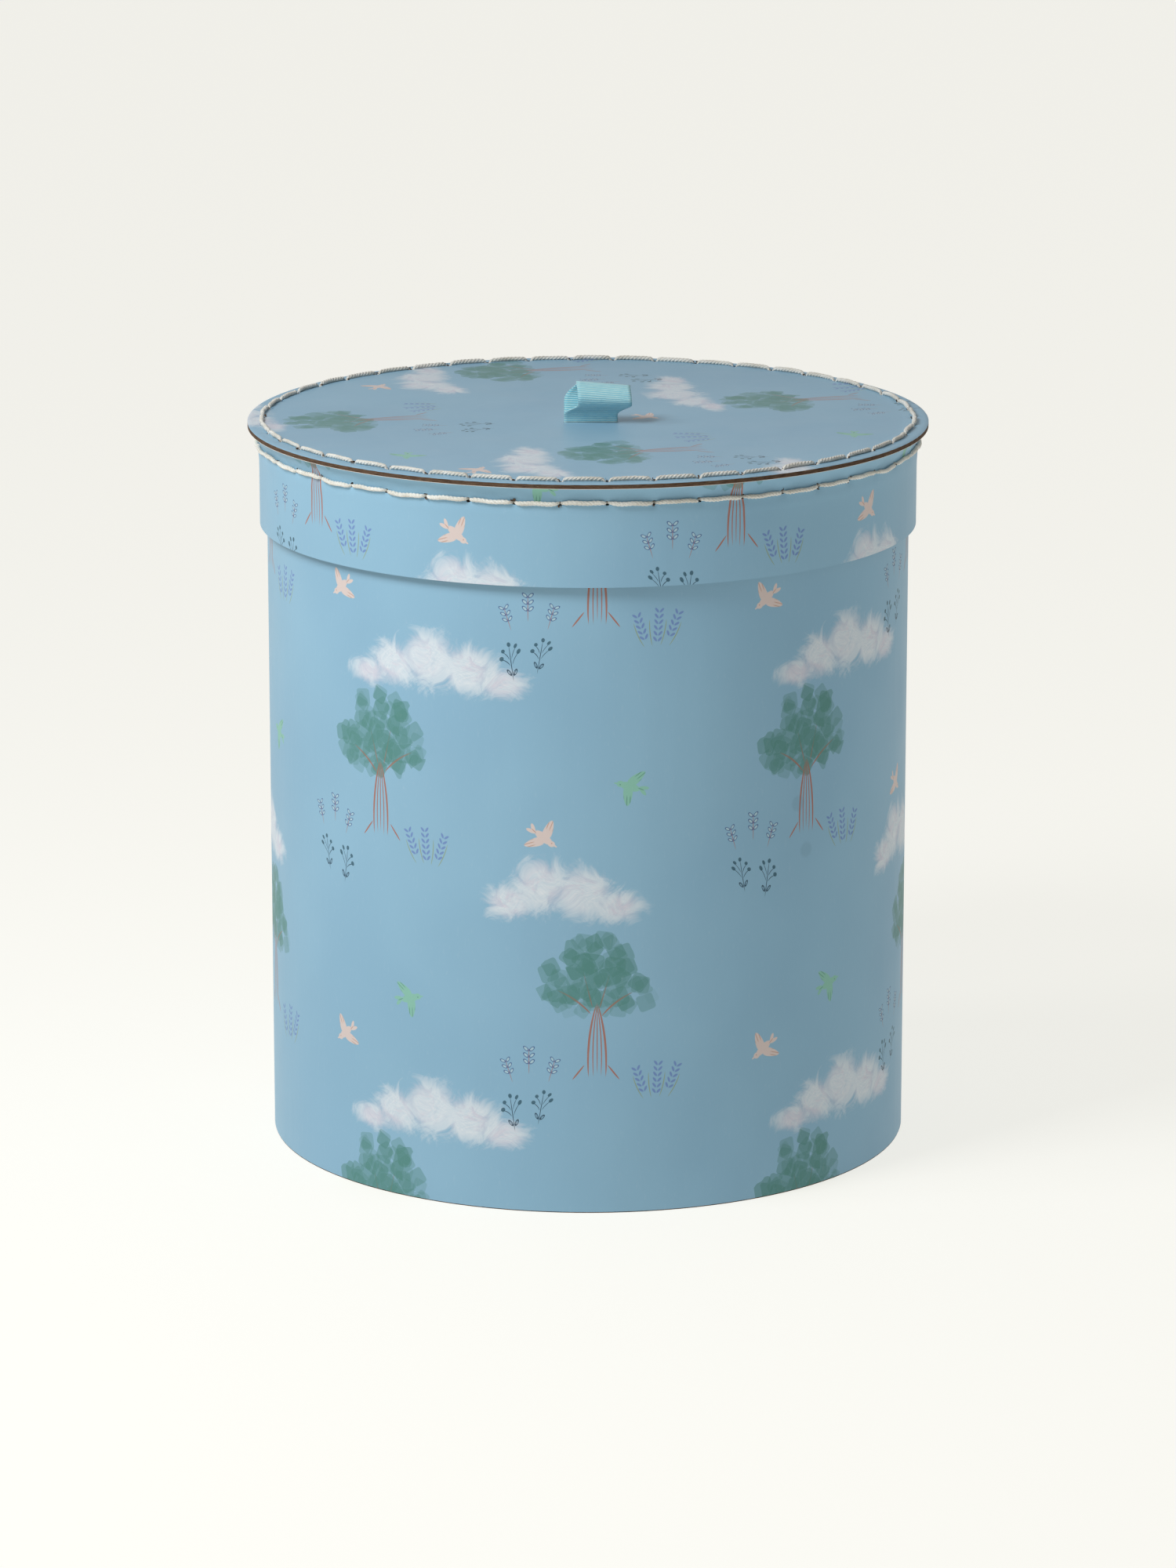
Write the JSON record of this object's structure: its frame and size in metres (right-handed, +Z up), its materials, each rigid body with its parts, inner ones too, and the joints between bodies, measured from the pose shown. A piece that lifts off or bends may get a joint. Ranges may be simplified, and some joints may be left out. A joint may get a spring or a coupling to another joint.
{
  "type": "hat box",
  "caption": "Round fibreboard hat box with a sewn lift-off lid, flared lid band, printed paper faces and a ribbon pull loop.",
  "frame": {"origin": "centre of the underside that the box stands on", "axes": "+Z up along the box's axis; -Y is the front, +X to the right seen from the front"},
  "size_m": [0.2894, 0.2894, 0.3281],
  "materials": {
    "fibreboard": "bare brown fibreboard, cut edges",
    "print_paper": "blue printed paper, low satin",
    "lining_paper": "uncoated white lining paper",
    "glue": "dried clear-cream bead",
    "cotton_cord": "three-strand twisted cotton",
    "grosgrain_ribbon": "ribbed aqua grosgrain"
  },
  "bodies": {
    "box": {"wall_board": "fibreboard", "wall_print_paper": "print_paper", "wall_lining_paper": "lining_paper", "base_print_paper": "print_paper", "base_board": "fibreboard", "base_lining_paper": "lining_paper", "base_glue_bead": "glue"},
    "lid": {"lid_disc_lining_paper": "lining_paper", "lid_disc_board": "fibreboard", "lid_disc_print_paper": "print_paper", "lid_band_print_paper": "print_paper", "lid_band_board": "fibreboard", "lid_band_lining_paper": "lining_paper", "lid_top_stitching": "cotton_cord", "lid_side_stitching": "cotton_cord", "ribbon_tails": "grosgrain_ribbon", "ribbon_patch": "lining_paper"},
    "ribbon": {"ribbon_loop": "grosgrain_ribbon"}
  },
  "joints": [
    {"name": "lid_lift", "type": "slide", "parent": "box", "child": "lid", "axis": [0, 0, 1], "range_m": [0, 0.15]},
    {"name": "ribbon_fold", "type": "hinge", "parent": "lid", "child": "ribbon", "pos_m": [0.0012, -0.0105, 0.31123], "axis": [1, 0, 0], "range_deg": [-50, 50], "stiffness_Nm_per_rad": 0.0004}
  ]
}
